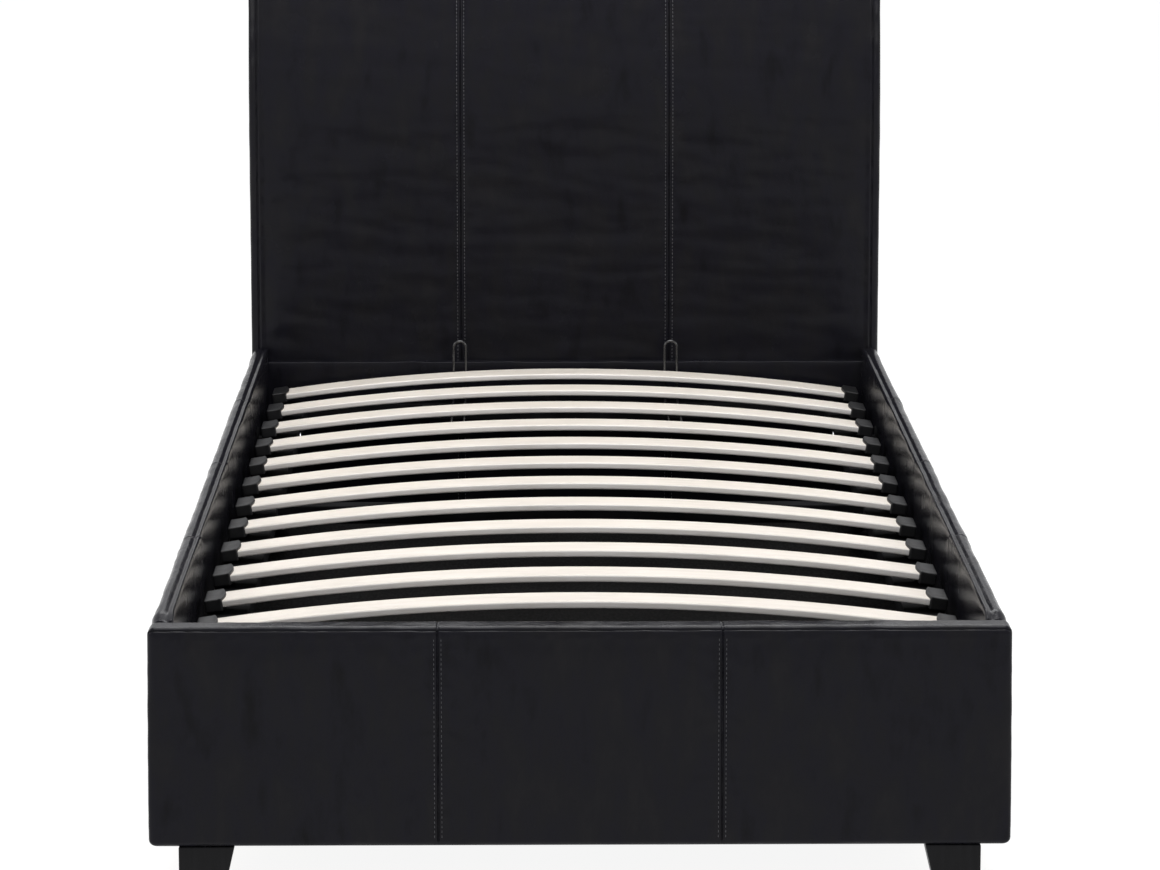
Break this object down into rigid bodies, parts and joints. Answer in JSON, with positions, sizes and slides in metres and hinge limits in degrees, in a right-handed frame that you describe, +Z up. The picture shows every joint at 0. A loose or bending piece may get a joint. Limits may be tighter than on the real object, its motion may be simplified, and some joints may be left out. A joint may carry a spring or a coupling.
{
  "type": "gas-lift storage sleigh bed, single",
  "caption": "Single sleigh bed in black faux leather: padded panels, bowed sprung slats with plastic caps, and a slat deck that lifts at the foot on gas struts over a storage well.",
  "frame": {"origin": "on the floor under the middle of the bed's outer box", "axes": "+Y to the head end along the bed's length, +Z up, +X to the right seen from the foot end"},
  "size_m": [0.98, 2.1662, 0.99],
  "materials": {
    "faux_leather": "soft semi-gloss black faux leather, stitched",
    "foot_paint": "satin black lacquer",
    "well_floor": "black faced hardboard",
    "black_steel": "satin black powder coat",
    "birch_ply": "pale lacquered laminated birch",
    "black_plastic": "moulded, fine texture",
    "polished_rod": "polished"
  },
  "bodies": {
    "base": {"footboard": "faux_leather", "headboard": "faux_leather", "head_rail": "faux_leather", "storage_floor": "well_floor", "deck_stop": "black_steel", "side_rail_left": "faux_leather", "side_rail_right": "faux_leather", "foot_front_left": "foot_paint", "foot_front_right": "foot_paint", "foot_rear_left": "foot_paint", "foot_rear_right": "foot_paint", "hinge_plate_left": "black_steel", "hinge_plate_right": "black_steel"},
    "deck": {"slat_01": "birch_ply", "slat_02": "birch_ply", "slat_03": "birch_ply", "slat_04": "birch_ply", "slat_05": "birch_ply", "slat_06": "birch_ply", "slat_07": "birch_ply", "slat_08": "birch_ply", "slat_09": "birch_ply", "slat_10": "birch_ply", "slat_11": "birch_ply", "slat_12": "birch_ply", "slat_cap_01_left": "black_plastic", "slat_cap_01_right": "black_plastic", "slat_cap_02_left": "black_plastic", "slat_cap_02_right": "black_plastic", "slat_cap_03_left": "black_plastic", "slat_cap_03_right": "black_plastic", "slat_cap_04_left": "black_plastic", "slat_cap_04_right": "black_plastic", "slat_cap_05_left": "black_plastic", "slat_cap_05_right": "black_plastic", "slat_cap_06_left": "black_plastic", "slat_cap_06_right": "black_plastic", "slat_cap_07_left": "black_plastic", "slat_cap_07_right": "black_plastic", "slat_cap_08_left": "black_plastic", "slat_cap_08_right": "black_plastic", "slat_cap_09_left": "black_plastic", "slat_cap_09_right": "black_plastic", "slat_cap_10_left": "black_plastic", "slat_cap_10_right": "black_plastic", "slat_cap_11_left": "black_plastic", "slat_cap_11_right": "black_plastic", "slat_cap_12_left": "black_plastic", "slat_cap_12_right": "black_plastic", "deck_head_tube": "black_steel", "deck_foot_tube": "black_steel", "deck_middle_tube": "black_steel", "deck_side_tube_left": "black_steel", "deck_side_tube_right": "black_steel", "mattress_retainer_left": "black_steel", "mattress_retainer_right": "black_steel"},
    "strut_tube_left": {"gas_strut_tube_left": "black_steel"},
    "strut_tube_right": {"gas_strut_tube_right": "black_steel"},
    "strut_rod_left": {"gas_strut_rod_left": "polished_rod"},
    "strut_rod_right": {"gas_strut_rod_right": "polished_rod"}
  },
  "joints": [
    {"name": "deck_lift", "type": "hinge", "parent": "base", "child": "deck", "pos_m": [0, 0.56691, 0.237], "axis": [-1, 0, 0], "range_deg": [0, 35]},
    {"name": "strut_swing_left", "type": "hinge", "parent": "base", "child": "strut_tube_left", "pos_m": [-0.424, 0.56691, 0.09], "axis": [-1, 0, 0], "range_deg": [0, 30.05]},
    {"name": "strut_slide_left", "type": "slide", "parent": "strut_tube_left", "child": "strut_rod_left", "axis": [0, -0.9667, 0.256], "range_m": [0, 0.07692]},
    {"name": "strut_swing_right", "type": "hinge", "parent": "base", "child": "strut_tube_right", "pos_m": [0.424, 0.56691, 0.09], "axis": [-1, 0, 0], "range_deg": [0, 30.05]},
    {"name": "strut_slide_right", "type": "slide", "parent": "strut_tube_right", "child": "strut_rod_right", "axis": [0, -0.9667, 0.256], "range_m": [0, 0.07692]}
  ],
  "couplings": [
    {"joint": "strut_swing_left", "follows": "deck_lift", "ratio": 0.857},
    {"joint": "strut_slide_left", "follows": "deck_lift", "m_per_rad": 0.1256},
    {"joint": "strut_swing_right", "follows": "deck_lift", "ratio": 0.857},
    {"joint": "strut_slide_right", "follows": "deck_lift", "m_per_rad": 0.1256}
  ]
}
